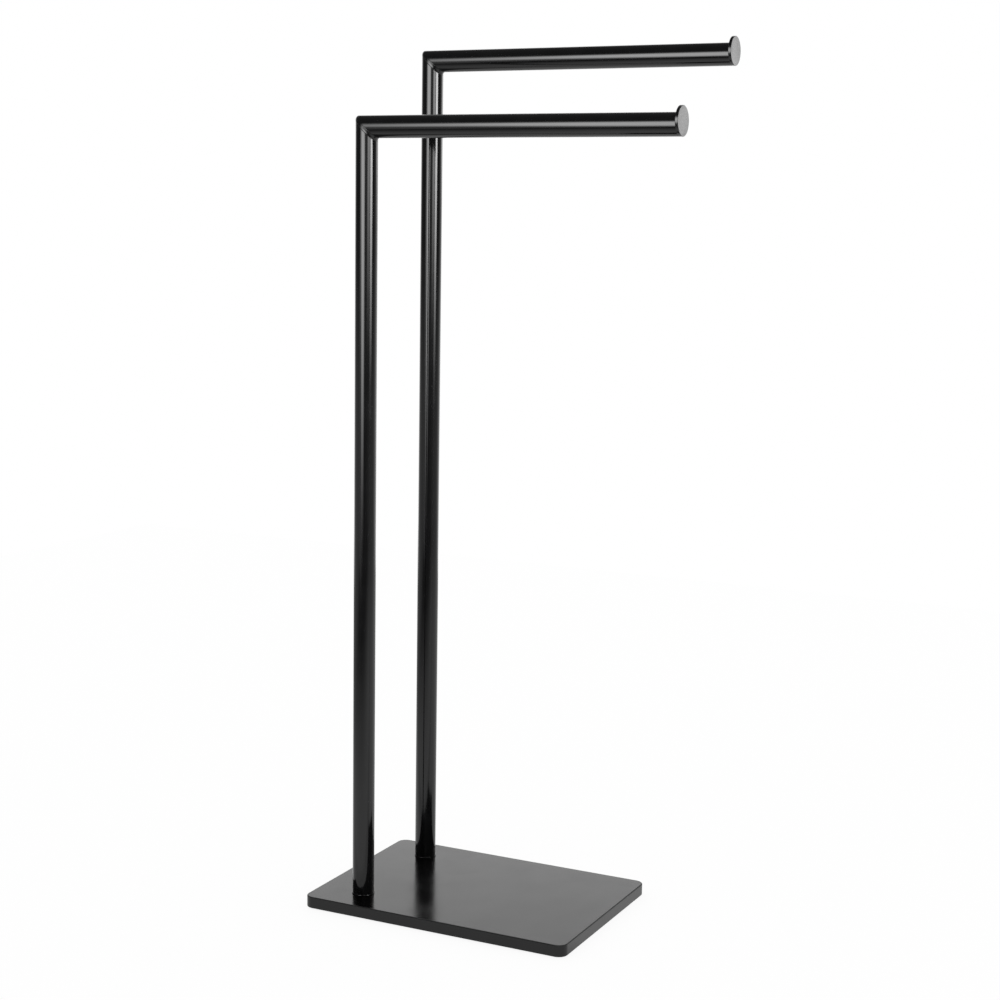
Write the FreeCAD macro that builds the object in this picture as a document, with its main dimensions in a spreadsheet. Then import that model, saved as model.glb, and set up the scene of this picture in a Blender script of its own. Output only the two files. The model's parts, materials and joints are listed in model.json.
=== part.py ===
import FreeCAD, Part
import math
import os

import Sketcher

# Freestanding towel stand, in millimetres.
#
# A flat, heavy base plate carries two L-shaped frames of round tube. Each frame is a
# post and an arm, mitred at 45 degrees, welded and ground smooth. The rear frame is
# taller than the front one, and both arms point along +X. Each arm ends in a thin disc
# that stands proud above the tube, so that a towel can't slide off. Each post stands on
# a thin ring and is held by one bolt from beneath, which reaches through a counterbored
# hole of the plate into a threaded plug in the tube's foot.
#
# The origin is on the floor, in the middle of the footprint. The front is at -Y.

# --- Driving dimensions ------------------------------------------------------------------

SIZES = {
    # Round tube of both frames
    "tube_diameter": 22,
    "tube_wall": 1.5,
    # Height of the top of each arm's tube above the floor
    "front_height": 798,
    "rear_height": 870,
    # From a post's axis to the outer face of its arm's end disc
    "arm_reach": 327,
    # Radius to which the mitred corner is ground, outside and inside
    "corner_blend": 3,
    # Base plate
    "plate_length": 292,
    "plate_width": 207,
    "plate_thickness": 12,
    "plate_corner_radius": 10,
    "plate_edge_radius": 1,
    # Post axis to the plate's left end, and to its front or rear side
    "post_inset_end": 49,
    "post_inset_side": 37,
    # Ring under each post: how far it stands proud of the tube, and its height
    "ring_lip": 0.6,
    "ring_height": 1.2,
    # End disc: how far its rim rises above the tube (it is flush below), and its spigot
    "disc_rise": 6,
    "disc_thickness": 3,
    "disc_bevel": 0.4,
    "spigot_length": 12,
    # Threaded plug in each tube's foot
    "plug_length": 22,
    "plug_bevel": 0.8,
    # Button-head bolt with a hexagon socket
    "bolt_diameter": 8,
    "bolt_length": 25,
    "bolt_tip_bevel": 1,
    "head_diameter": 14,
    "head_height": 4.4,
    "head_rounding": 2.6,
    "socket_flats": 5,
    "socket_depth": 2.6,
    # Split spring washer between the head and the plate
    "washer_diameter": 14.8,
    "washer_thickness": 2,
    "washer_slit": 1.2,
    # Rubber feet
    "foot_diameter": 22,
    "foot_height": 1.5,
    "foot_bevel": 0.4,
    "foot_inset": 24,
    # Clearances, each measured on one side
    "press_gap": 0.05,
    "thread_gap": 0.05,
    "bolt_gap": 0.2,
    "counterbore_gap": 0.6,
    "head_recess": 0.6,
}

# --- Places and sizes worked out from the driving dimensions -----------------------------

BORE = "(Sizes.tube_diameter - 2 * Sizes.tube_wall)"
PLUG_DIAMETER = f"({BORE} - 2 * Sizes.press_gap)"
BOLT_HOLE = "(Sizes.bolt_diameter + 2 * Sizes.bolt_gap)"
THREAD_BORE = "(Sizes.bolt_diameter + 2 * Sizes.thread_gap)"
COUNTERBORE = "(Sizes.washer_diameter + 2 * Sizes.counterbore_gap)"
COUNTERBORE_DEPTH = "(Sizes.head_recess + Sizes.head_height + Sizes.washer_thickness)"
DISC_DIAMETER = "(Sizes.tube_diameter + Sizes.disc_rise)"

FOOTPRINT_LENGTH = "max(Sizes.plate_length; Sizes.post_inset_end + Sizes.arm_reach)"
PLATE_END_X = f"(-{FOOTPRINT_LENGTH} / 2)"
PLATE_X = f"({PLATE_END_X} + Sizes.plate_length / 2)"
POST_X = f"({PLATE_END_X} + Sizes.post_inset_end)"
POST_Y = "(Sizes.plate_width / 2 - Sizes.post_inset_side)"
PLATE_TOP_Z = "(Sizes.foot_height + Sizes.plate_thickness)"
POST_FOOT_Z = f"({PLATE_TOP_Z} + Sizes.ring_height)"
WASHER_Z = "(Sizes.foot_height + Sizes.head_recess + Sizes.head_height)"
DISC_X = f"({POST_X} + Sizes.arm_reach - Sizes.disc_thickness)"

doc = FreeCAD.newDocument("TowelStand")
sheet = doc.addObject("Spreadsheet::Sheet", "Sizes")
for row, (alias, number) in enumerate(SIZES.items(), start=1):
    sheet.set(f"A{row}", alias)
    sheet.set(f"B{row}", str(number))
    sheet.setAlias(f"B{row}", alias)
doc.recompute()


def value(expression):
    """Number that an expression over the sheet's sizes gives now."""
    return float(sheet.evalExpression(expression.replace("Sizes.", "")))


# --- Helpers for bodies, sketches and features -------------------------------------------

def new_body(label, at_x="0", at_y="0", at_z="0"):
    """Empty body whose placement follows the sheet."""
    body = doc.addObject("PartDesign::Body", label)
    body.Label = label
    for axis, expression in (("x", at_x), ("y", at_y), ("z", at_z)):
        body.setExpression(f"Placement.Base.{axis}", expression)
    return body


def new_sketch(body, name, plane, along_normal="0"):
    """Sketch on one of the body's origin planes, moved along the plane's normal."""
    support = next(item for item in body.Origin.OriginFeatures if item.Role == plane)
    sketch = body.newObject("Sketcher::SketchObject", f"{body.Name}_{name}")
    sketch.AttachmentSupport = (support, [""])
    sketch.MapMode = "FlatFace"
    sketch.setExpression("AttachmentOffset.Base.z", along_normal)
    return sketch


def bind(sketch, name, kind, target, expression):
    """Dimension of the sketch that is bound to an expression."""
    index = sketch.addConstraint(Sketcher.Constraint(kind, *target, value(expression)))
    sketch.renameConstraint(index, name)
    sketch.setExpression(f"Constraints.{name}", expression)


def place_point(sketch, name, geometry, position, at_x, at_y):
    """Fix one point of a geometry at two coordinates of the sketch."""
    bind(sketch, f"{name}_x", "DistanceX", (-1, 1, geometry, position), at_x)
    bind(sketch, f"{name}_y", "DistanceY", (-1, 1, geometry, position), at_y)


def add_circle(sketch, name, diameter, at_x=None, at_y=None):
    """Circle about the sketch's origin, or about a placed centre."""
    centred = at_x is None
    centre = FreeCAD.Vector(0, 0, 0) if centred else FreeCAD.Vector(value(at_x), value(at_y), 0)
    circle = Part.Circle(centre, FreeCAD.Vector(0, 0, 1), value(diameter) / 2)
    geometry = sketch.addGeometry(circle)
    if centred:
        sketch.addConstraint(Sketcher.Constraint("Coincident", geometry, 3, -1, 1))
    else:
        place_point(sketch, f"{name}_centre", geometry, 3, at_x, at_y)
    bind(sketch, f"{name}_diameter", "Diameter", (geometry,), diameter)


def add_polygon(sketch, name, corners):
    """Closed polygon through corners that are given as pairs of expressions."""
    points = [FreeCAD.Vector(value(x), value(y), 0) for x, y in corners]
    lines = []
    for start, end in zip(points, points[1:] + points[:1]):
        lines.append(sketch.addGeometry(Part.LineSegment(start, end)))
    for line, following in zip(lines, lines[1:] + lines[:1]):
        sketch.addConstraint(Sketcher.Constraint("Coincident", line, 2, following, 1))
    for number, (line, (x, y)) in enumerate(zip(lines, corners), start=1):
        place_point(sketch, f"{name}_corner_{number}", line, 1, x, y)


def add_rectangle(sketch, name, length, width):
    """Rectangle centred on the sketch's origin."""
    half_length = f"{length} / 2"
    half_width = f"{width} / 2"
    add_polygon(sketch, name, [
        (f"-{half_length}", f"-{half_width}"),
        (half_length, f"-{half_width}"),
        (half_length, half_width),
        (f"-{half_length}", half_width),
    ])


def add_ellipse(sketch, name, across_x, across_y):
    """Ellipse about the sketch's origin whose longer axis lies along X."""
    long_end = FreeCAD.Vector(value(across_x) / 2, 0, 0)
    short_end = FreeCAD.Vector(0, value(across_y) / 2, 0)
    ellipse = sketch.addGeometry(Part.Ellipse(long_end, short_end, FreeCAD.Vector(0, 0, 0)))
    sketch.exposeInternalGeometry(ellipse)
    long_axis = ellipse + 1
    short_axis = ellipse + 2
    sketch.addConstraint(Sketcher.Constraint("Coincident", ellipse, 3, -1, 1))
    sketch.addConstraint(Sketcher.Constraint("Horizontal", long_axis))
    bind(sketch, f"{name}_across_x", "Distance", (long_axis,), across_x)
    bind(sketch, f"{name}_across_y", "Distance", (short_axis,), across_y)


def add_pad(body, name, sketch, length, backwards=False):
    """Solid raised from a sketch along the sketch's normal, or against it."""
    pad = body.newObject("PartDesign::Pad", f"{body.Name}_{name}")
    pad.Profile = sketch
    pad.Reversed = backwards
    pad.setExpression("Length", length)
    doc.recompute()
    return pad


def add_pocket(body, name, sketch, depth, both_sides=False):
    """Cut along the sketch's normal, or to both sides of its plane."""
    before = body.Shape.Volume
    pocket = body.newObject("PartDesign::Pocket", f"{body.Name}_{name}")
    pocket.Profile = sketch
    pocket.Midplane = both_sides
    pocket.Reversed = not both_sides
    pocket.setExpression("Length", depth)
    doc.recompute()
    if pocket.Shape.Volume >= before:
        raise RuntimeError(f"{pocket.Name} cuts nothing")
    return pocket


def edges_where(feature, test):
    """Names of the feature's edges that pass a test."""
    edges = enumerate(feature.Shape.Edges, start=1)
    return [f"Edge{number}" for number, edge in edges if test(edge)]


def lies_in_plane(edge, axis, level):
    """True where the whole edge lies at one level of an axis."""
    box = edge.BoundBox
    low, high = getattr(box, f"{axis}Min"), getattr(box, f"{axis}Max")
    return abs(low - level) < 1e-4 and abs(high - level) < 1e-4


def is_ring(edge, diameter):
    """True for a full circle of the given diameter."""
    round_edge = isinstance(edge.Curve, Part.Circle) and edge.isClosed()
    return round_edge and abs(2 * edge.Curve.Radius - diameter) < 1e-4


def round_edges(body, name, feature, edges, radius):
    """Fillet on named edges of a feature."""
    fillet = body.newObject("PartDesign::Fillet", f"{body.Name}_{name}")
    fillet.Base = (feature, edges)
    fillet.setExpression("Radius", radius)
    doc.recompute()
    return fillet


def bevel_edges(body, name, feature, edges, size):
    """Chamfer on named edges of a feature."""
    chamfer = body.newObject("PartDesign::Chamfer", f"{body.Name}_{name}")
    chamfer.Base = (feature, edges)
    chamfer.setExpression("Size", size)
    doc.recompute()
    return chamfer


# --- Base plate and its feet -------------------------------------------------------------

def make_base_plate():
    """Steel plate with rounded corners and a counterbored hole under each post."""
    plate = new_body("base_plate", at_x=PLATE_X, at_z="Sizes.foot_height")
    outline = new_sketch(plate, "outline", "XY_Plane")
    add_rectangle(outline, "plate", "Sizes.plate_length", "Sizes.plate_width")
    slab = add_pad(plate, "slab", outline, "Sizes.plate_thickness")

    thickness = value("Sizes.plate_thickness")
    uprights = edges_where(slab, lambda edge: abs(edge.BoundBox.ZLength - thickness) < 1e-4)
    cornered = round_edges(plate, "corners", slab, uprights, "Sizes.plate_corner_radius")

    rims = edges_where(cornered, lambda edge: edge.BoundBox.ZLength < 1e-4)
    rounded = round_edges(plate, "rims", cornered, rims, "Sizes.plate_edge_radius")

    hole_x = "(Sizes.post_inset_end - Sizes.plate_length / 2)"
    for name, diameter, depth in (
        ("bolt_holes", BOLT_HOLE, "Sizes.plate_thickness"),
        ("counterbores", COUNTERBORE, COUNTERBORE_DEPTH),
    ):
        holes = new_sketch(plate, f"{name}_sketch", "XY_Plane")
        add_circle(holes, "front", diameter, hole_x, f"-{POST_Y}")
        add_circle(holes, "rear", diameter, hole_x, POST_Y)
        add_pocket(plate, name, holes, depth)


def make_foot(label, end, side):
    """Round rubber pad under one corner of the plate."""
    at_x = f"({PLATE_X} + {end} * (Sizes.plate_length / 2 - Sizes.foot_inset))"
    at_y = f"({side} * (Sizes.plate_width / 2 - Sizes.foot_inset))"
    foot = new_body(label, at_x=at_x, at_y=at_y)
    outline = new_sketch(foot, "outline", "XY_Plane")
    add_circle(outline, "foot", "Sizes.foot_diameter")
    pad = add_pad(foot, "pad", outline, "Sizes.foot_height")
    bottom = edges_where(pad, lambda edge: lies_in_plane(edge, "Z", 0))
    bevel_edges(foot, "bevel", pad, bottom, "Sizes.foot_bevel")


# --- One L-shaped frame ------------------------------------------------------------------

def add_tube_section(sketch):
    """Ring-shaped section of the frame's tube."""
    add_circle(sketch, "outside", "Sizes.tube_diameter")
    add_circle(sketch, "inside", BORE)


def cut_mitre(body, level, keep_below):
    """Cut a tube at 45 degrees, along x + z = level in the body's own frame."""
    reach = "(2 * Sizes.tube_diameter)"
    far = reach if keep_below else f"-{reach}"
    far_z = f"({level} + {far})"
    wedge = new_sketch(body, "mitre_sketch", "XZ_Plane")
    add_polygon(wedge, "mitre", [
        (f"-{reach}", f"({level} + {reach})"),
        (reach, f"({level} - {reach})"),
        (far, far_z),
    ])
    add_pocket(body, "mitre", wedge, reach, both_sides=True)


def make_post(label, at_y, axis_z):
    """Upright tube from the ring at its foot up to the mitre."""
    post = new_body(label, at_x=POST_X, at_y=at_y, at_z=POST_FOOT_Z)
    section = new_sketch(post, "section", "XY_Plane")
    add_tube_section(section)
    mitre_level = f"({axis_z} - {POST_FOOT_Z} - Sizes.corner_blend)"
    add_pad(post, "tube", section, f"({mitre_level} + Sizes.tube_diameter)")
    cut_mitre(post, mitre_level, keep_below=True)


def make_arm(label, at_y, axis_z):
    """Level tube from the mitre to the end disc."""
    arm = new_body(label, at_x=POST_X, at_y=at_y, at_z=axis_z)
    section = new_sketch(arm, "section", "YZ_Plane", "-Sizes.tube_diameter")
    add_tube_section(section)
    tube_end = "(Sizes.arm_reach - Sizes.disc_thickness)"
    add_pad(arm, "tube", section, f"({tube_end} + Sizes.tube_diameter)")
    cut_mitre(arm, "Sizes.corner_blend", keep_below=False)


def make_corner_weld(label, at_y, axis_z):
    """Weld between the two mitre cuts, ground to a round crease.

    The mitre's elliptical section moves, without turning, along a quarter arc that
    leaves the post upwards and reaches the arm level.
    """
    weld = new_body(label, at_x=POST_X, at_y=at_y, at_z=axis_z)
    path = new_sketch(weld, "path", "XZ_Plane")
    blend = value("Sizes.corner_blend")
    circle = Part.Circle(FreeCAD.Vector(blend, -blend, 0), FreeCAD.Vector(0, 0, 1), blend)
    arc = path.addGeometry(Part.ArcOfCircle(circle, math.pi / 2, math.pi))
    place_point(path, "post_end", arc, 2, "0", "-Sizes.corner_blend")
    place_point(path, "arm_end", arc, 1, "Sizes.corner_blend", "0")
    bind(path, "blend", "Radius", (arc,), "Sizes.corner_blend")

    section = new_sketch(weld, "section", "XY_Plane", "-Sizes.corner_blend")
    offset = section.AttachmentOffset
    offset.Rotation = FreeCAD.Rotation(FreeCAD.Vector(0, 1, 0), 45)
    section.AttachmentOffset = offset
    add_ellipse(section, "outside", "Sizes.tube_diameter * sqrt(2)", "Sizes.tube_diameter")
    add_ellipse(section, "inside", f"{BORE} * sqrt(2)", BORE)
    doc.recompute()

    sweep = weld.newObject("PartDesign::AdditivePipe", f"{weld.Name}_sweep")
    sweep.Profile = section
    sweep.Spine = (path, ["Edge1"])
    sweep.Mode = "Fixed"
    doc.recompute()


def make_end_disc(label, at_y, axis_z):
    """Stop disc, flush with the tube below and proud of it above, with its spigot."""
    disc = new_body(label, at_x=DISC_X, at_y=at_y, at_z=axis_z)
    outline = new_sketch(disc, "outline", "YZ_Plane")
    add_circle(outline, "disc", DISC_DIAMETER, "0", "Sizes.disc_rise / 2")
    plate = add_pad(disc, "plate", outline, "Sizes.disc_thickness")
    rims = edges_where(plate, lambda edge: is_ring(edge, value(DISC_DIAMETER)))
    bevel_edges(disc, "bevel", plate, rims, "Sizes.disc_bevel")

    section = new_sketch(disc, "spigot_section", "YZ_Plane")
    add_circle(section, "spigot", PLUG_DIAMETER)
    add_pad(disc, "spigot", section, "Sizes.spigot_length", backwards=True)


def make_foot_ring(label, at_y):
    """Thin ring between the tube's foot and the plate."""
    ring = new_body(label, at_x=POST_X, at_y=at_y, at_z=PLATE_TOP_Z)
    section = new_sketch(ring, "section", "XY_Plane")
    add_circle(section, "outside", "(Sizes.tube_diameter + 2 * Sizes.ring_lip)")
    add_circle(section, "hole", BOLT_HOLE)
    add_pad(ring, "ring", section, "Sizes.ring_height")


def make_threaded_plug(label, at_y):
    """Plug in the tube's foot; its thread is a plain bore of the bolt's size."""
    plug = new_body(label, at_x=POST_X, at_y=at_y, at_z=POST_FOOT_Z)
    section = new_sketch(plug, "section", "XY_Plane")
    add_circle(section, "outside", PLUG_DIAMETER)
    add_circle(section, "thread", THREAD_BORE)
    sleeve = add_pad(plug, "sleeve", section, "Sizes.plug_length")
    top = value("Sizes.plug_length")
    outer = value(PLUG_DIAMETER)
    lead = edges_where(sleeve, lambda edge: lies_in_plane(edge, "Z", top) and is_ring(edge, outer))
    bevel_edges(plug, "lead", sleeve, lead, "Sizes.plug_bevel")


def make_base_bolt(label, at_y):
    """Button-head bolt that points up, with a hexagon socket in its head."""
    bolt = new_body(label, at_x=POST_X, at_y=at_y, at_z=WASHER_Z)
    head_outline = new_sketch(bolt, "head_outline", "XY_Plane")
    add_circle(head_outline, "head", "Sizes.head_diameter")
    head = add_pad(bolt, "head", head_outline, "Sizes.head_height", backwards=True)
    crown = edges_where(head, lambda edge: lies_in_plane(edge, "Z", -value("Sizes.head_height")))
    round_edges(bolt, "crown", head, crown, "Sizes.head_rounding")

    shank_outline = new_sketch(bolt, "shank_outline", "XY_Plane")
    add_circle(shank_outline, "shank", "Sizes.bolt_diameter")
    shank = add_pad(bolt, "shank", shank_outline, "Sizes.bolt_length")
    tip_z = value("Sizes.bolt_length")
    tip = edges_where(shank, lambda edge: lies_in_plane(edge, "Z", tip_z))
    bevel_edges(bolt, "tip", shank, tip, "Sizes.bolt_tip_bevel")

    across_corners = "Sizes.socket_flats / sqrt(3)"
    corners = []
    for turn in range(0, 360, 60):
        corners.append((f"({across_corners} * cos({turn}))", f"({across_corners} * sin({turn}))"))
    socket = new_sketch(bolt, "socket_outline", "XY_Plane", "-Sizes.head_height")
    add_polygon(socket, "socket", corners)
    add_pocket(bolt, "socket", socket, "Sizes.socket_depth")


def make_spring_washer(label, at_y):
    """Split washer, pressed flat between the bolt's head and the plate."""
    washer = new_body(label, at_x=POST_X, at_y=at_y, at_z=WASHER_Z)
    section = new_sketch(washer, "section", "XY_Plane")
    add_circle(section, "outside", "Sizes.washer_diameter")
    add_circle(section, "hole", BOLT_HOLE)
    add_pad(washer, "ring", section, "Sizes.washer_thickness")

    half_slit = "Sizes.washer_slit / 2"
    slit = new_sketch(washer, "slit_outline", "XY_Plane")
    add_polygon(slit, "slit", [
        ("0", f"-{half_slit}"),
        ("Sizes.washer_diameter", f"-{half_slit}"),
        ("Sizes.washer_diameter", half_slit),
        ("0", half_slit),
    ])
    add_pocket(washer, "slit", slit, "Sizes.washer_thickness")


def make_frame(prefix, side, top_height):
    """All pieces of one frame, from the bolt under the plate to the end disc."""
    at_y = f"({side} * {POST_Y})"
    axis_z = f"({top_height} - Sizes.tube_diameter / 2)"
    make_post(f"{prefix}_post", at_y, axis_z)
    make_arm(f"{prefix}_arm", at_y, axis_z)
    make_corner_weld(f"{prefix}_corner_weld", at_y, axis_z)
    make_end_disc(f"{prefix}_end_disc", at_y, axis_z)
    make_foot_ring(f"{prefix}_foot_ring", at_y)
    make_threaded_plug(f"{prefix}_threaded_plug", at_y)
    make_base_bolt(f"{prefix}_base_bolt", at_y)
    make_spring_washer(f"{prefix}_spring_washer", at_y)


# --- The whole stand ---------------------------------------------------------------------

make_base_plate()
for side_name, side_sign in (("front", -1), ("rear", 1)):
    for end_name, end_sign in (("left", -1), ("right", 1)):
        make_foot(f"rubber_foot_{side_name}_{end_name}", end_sign, side_sign)
make_frame("front", -1, "Sizes.front_height")
make_frame("rear", 1, "Sizes.rear_height")
doc.recompute()

# --- Checks, then one STEP file for each piece -------------------------------------------

for item in doc.Objects:
    if {"Invalid", "Error"} & set(item.State):
        raise RuntimeError(f"{item.Name} failed: {item.State}")

pieces = [item for item in doc.Objects if item.TypeId == "PartDesign::Body"]
for piece in pieces:
    if piece.Shape.isNull() or not piece.Shape.isValid() or len(piece.Shape.Solids) != 1:
        raise RuntimeError(f"{piece.Label} is not one valid solid")

os.makedirs("parts", exist_ok=True)
for piece in pieces:
    piece.Shape.exportStep(f"parts/{piece.Label}.step")
    print(f"{piece.Label}: {piece.Shape.Volume:.1f} mm3")
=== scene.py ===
import json
import math

import bmesh
import bpy
from mathutils import Matrix, Vector

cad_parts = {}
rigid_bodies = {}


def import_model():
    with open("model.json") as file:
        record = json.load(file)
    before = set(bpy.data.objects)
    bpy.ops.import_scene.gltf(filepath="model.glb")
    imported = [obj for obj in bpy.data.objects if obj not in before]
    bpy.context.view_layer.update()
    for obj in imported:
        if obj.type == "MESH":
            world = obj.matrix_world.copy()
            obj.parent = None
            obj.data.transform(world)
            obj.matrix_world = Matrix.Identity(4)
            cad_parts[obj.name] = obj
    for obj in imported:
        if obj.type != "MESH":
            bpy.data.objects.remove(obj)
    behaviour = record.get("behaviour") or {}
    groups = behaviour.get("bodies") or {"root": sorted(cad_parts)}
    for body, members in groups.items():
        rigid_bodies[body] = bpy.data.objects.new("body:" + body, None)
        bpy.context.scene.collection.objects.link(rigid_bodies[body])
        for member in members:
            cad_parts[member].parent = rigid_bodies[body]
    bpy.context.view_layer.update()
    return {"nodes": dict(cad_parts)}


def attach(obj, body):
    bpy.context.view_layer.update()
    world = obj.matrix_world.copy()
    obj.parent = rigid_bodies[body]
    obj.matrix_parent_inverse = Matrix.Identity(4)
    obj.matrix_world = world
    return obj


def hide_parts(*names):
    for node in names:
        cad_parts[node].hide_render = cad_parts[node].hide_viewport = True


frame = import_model()

# Freestanding towel stand: two L-shaped frames of round tube on a flat base plate, all in a
# black coat. Sizes and places are in metres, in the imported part's own frame: +X along the
# arms, +Y to the taller rear frame, +Z up, the floor at 0.

MM = 0.001

TUBE_RADIUS = 11 * MM
BORE_RADIUS = 9.5 * MM
CREASE_RADIUS = 3 * MM
UNDERCUT = 0.15 * MM
POST_X = -139 * MM
POST_FOOT_Z = 14.7 * MM
TUBE_END_X = 185 * MM
FRAMES = {
    "front": {"y": -66.5 * MM, "arm_z": 787 * MM},
    "rear": {"y": 66.5 * MM, "arm_z": 859 * MM},
}

PLATE_X = -42 * MM
PLATE_LENGTH = 292 * MM
PLATE_WIDTH = 207 * MM
PLATE_BOTTOM_Z = 1.5 * MM
PLATE_TOP_Z = 13.5 * MM
PLATE_CORNER = 10 * MM
PLATE_EDGE = 1 * MM
COUNTERBORE_RADIUS = 8 * MM
COUNTERBORE_TOP_Z = 8.5 * MM
BOLT_HOLE_RADIUS = 4.2 * MM

RING_RADIUS = 11.6 * MM
RING_LOWER_ROUNDING = 0.15 * MM
RING_UPPER_ROUNDING = 0.35 * MM
DISC_RADIUS = 14 * MM
DISC_RISE = 3 * MM
DISC_THICKNESS = 3 * MM
DISC_ROUNDING = 0.4 * MM
SPIGOT_RADIUS = 9.45 * MM
SPIGOT_LENGTH = 12 * MM
SPIGOT_LEAD = 0.6 * MM
SPIGOT_IN_DISC = 0.2 * MM

HEAD_BOTTOM_Z = 2.1 * MM
HEAD_TOP_Z = 6.5 * MM
HEAD_RADIUS = 7 * MM
HEAD_ROUNDING = 2.6 * MM
HEAD_SEAT_CHAMFER = 0.2 * MM
HEAD_SEAT_INSIDE = 2.2 * MM
SOCKET_FLATS = 5 * MM
SOCKET_DEPTH = 2.6 * MM
SOCKET_RIM_RADIUS = 0.62 * SOCKET_FLATS
SOCKET_RIM_DEPTH = 0.25 * MM
BOLT_LENGTH = 25 * MM
BOLT_IN_HEAD = 0.3 * MM
BOLT_TIP_CHAMFER = 0.3 * MM
THREAD_RADIUS = 4 * MM
THREAD_ROOT_RADIUS = 3.3 * MM
THREAD_PITCH = 1.25 * MM
WASHER_RADIUS = 7.4 * MM
WASHER_THICKNESS = 2 * MM
WASHER_ROUNDING = 0.2 * MM
WASHER_SLIT = 1.2 * MM

FOOT_RADIUS = 11 * MM
FOOT_HEIGHT = 1.5 * MM
FOOT_ROUNDING = 0.4 * MM
FOOT_CHAMFER = 0.1 * MM
FOOT_X = {"left": -164 * MM, "right": 80 * MM}
FOOT_Y = {"front": -79.5 * MM, "rear": 79.5 * MM}

TUBE_SIDES = 144
DISC_SIDES = 160
ROUND_SIDES = 120

# Edges that bend by more degrees than this stay sharp
SHARP_BEND = 30.0
# Points nearer to each other than this become one, in a tree and in a shape built of rings
TREE_MERGE = 1e-6
RING_MERGE = 1e-7


# --- Wiring of node trees ----------------------------------------------------------------

class Wire:
    """One socket's output. Arithmetic on it adds Math nodes, and node() adds any other node."""

    def __init__(self, tree, socket=None):
        self.tree = tree
        self.socket = socket

    def node(self, kind, settings=None, sockets=None, output=0):
        """New node of a type, with its settings and then its sockets' values or wires."""
        made = self.tree.nodes.new(kind)
        for name, setting in (settings or {}).items():
            setattr(made, name, setting)
        for key, value in (sockets or {}).items():
            if isinstance(value, Wire):
                self.tree.links.new(value.socket, made.inputs[key])
            else:
                made.inputs[key].default_value = value
        return Wire(self.tree, made.outputs[output] if len(made.outputs) else None)

    def output(self, name):
        """Another output of the same node."""
        return Wire(self.tree, self.socket.node.outputs[name])

    def math(self, operation, *values):
        return self.node("ShaderNodeMath", {"operation": operation}, dict(enumerate(values)))

    def __add__(self, other):
        return self.math("ADD", self, other)

    __radd__ = __add__

    def __sub__(self, other):
        return self.math("SUBTRACT", self, other)

    def __rsub__(self, other):
        return self.math("SUBTRACT", other, self)

    def __mul__(self, other):
        return self.math("MULTIPLY", self, other)

    __rmul__ = __mul__

    def __truediv__(self, other):
        return self.math("DIVIDE", self, other)

    def __neg__(self):
        return self.math("MULTIPLY", self, -1.0)

    def __abs__(self):
        return self.math("ABSOLUTE", self)

    def cosine(self):
        return self.math("COSINE", self)

    def sine(self):
        return self.math("SINE", self)

    def below(self, limit):
        return self.math("LESS_THAN", self, limit)

    def at_least(self, other):
        return self.math("MAXIMUM", self, other)

    def at_most(self, other):
        return self.math("MINIMUM", self, other)

    def rise(self, low, high):
        """0 below low, 1 above high, and smooth between; the other way round if high < low."""
        settings = {"interpolation_type": "SMOOTHSTEP"}
        sockets = {"Value": self, "From Min": low, "From Max": high}
        return self.node("ShaderNodeMapRange", settings, sockets)

    def band(self, low, high, soft):
        """1 between low and high, fading over soft beyond each."""
        return self.rise(low - soft, low) * self.rise(high + soft, high)

    def between(self, low, high):
        """Value from low to high as this one goes from 0 to 1."""
        return self * (high - low) + low


def vector(x, y, z):
    """Vector wire from three numbers or wires, of which one at least is a wire."""
    wire = next(part for part in (x, y, z) if isinstance(part, Wire))
    return wire.node("ShaderNodeCombineXYZ", None, {"X": x, "Y": y, "Z": z})


# --- Shapes that follow a rule: Geometry Nodes -------------------------------------------

def shape_tree(name, lengths, counts=()):
    """Empty tree with a named input for each size, a finish and a mesh output."""
    tree = bpy.data.node_groups.new(name, "GeometryNodeTree")
    tree.is_modifier = True
    inputs = [(label, "NodeSocketFloat") for label in lengths]
    inputs += [(label, "NodeSocketInt") for label in counts]
    inputs.append(("Finish", "NodeSocketMaterial"))
    for label, kind in inputs:
        tree.interface.new_socket(label, in_out="INPUT", socket_type=kind)
    tree.interface.new_socket("Shape", in_out="OUTPUT", socket_type="NodeSocketGeometry")
    return Wire(tree).node("NodeGroupInput")


def end_tree(given, shape):
    """Smooth faces between sharp edges, the finish, and the tree's output."""
    bend = given.node("GeometryNodeInputMeshEdgeAngle")
    smooth = bend.below(math.radians(SHARP_BEND))
    soft = given.node("GeometryNodeSetShadeSmooth", {"domain": "FACE"}, {"Geometry": shape})
    shaded = given.node("GeometryNodeSetShadeSmooth", {"domain": "EDGE"},
                        {"Geometry": soft, "Shade Smooth": smooth})
    whole = given.node("GeometryNodeRealizeInstances", None, {"Geometry": shaded})
    coated = given.node("GeometryNodeSetMaterial", None,
                        {"Geometry": whole, "Material": given.output("Finish")})
    given.node("NodeGroupOutput", None, {"Shape": coated})
    return given.tree


def wrapped_grid(given, around, along):
    """Grid to be wrapped round an axis: its mesh, the turn in radians and the row number."""
    sockets = {"Size X": 1.0, "Size Y": along - 1, "Vertices X": around + 1, "Vertices Y": along}
    grid = given.node("GeometryNodeMeshGrid", None, sockets)
    place = given.node("GeometryNodeInputPosition")
    apart = given.node("ShaderNodeSeparateXYZ", None, {0: place})
    turn = (apart.output("X") + 0.5) * math.tau
    row = apart.output("Y") + (along - 1) * 0.5
    return grid, turn, row


def wrap(given, grid, x, y, z):
    """Grid moved to its places, with its seams closed."""
    sockets = {"Geometry": grid, "Position": vector(x, y, z)}
    moved = given.node("GeometryNodeSetPosition", None, sockets)
    sockets = {"Geometry": moved, "Distance": TREE_MERGE}
    return given.node("GeometryNodeMergeByDistance", None, sockets)


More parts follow.
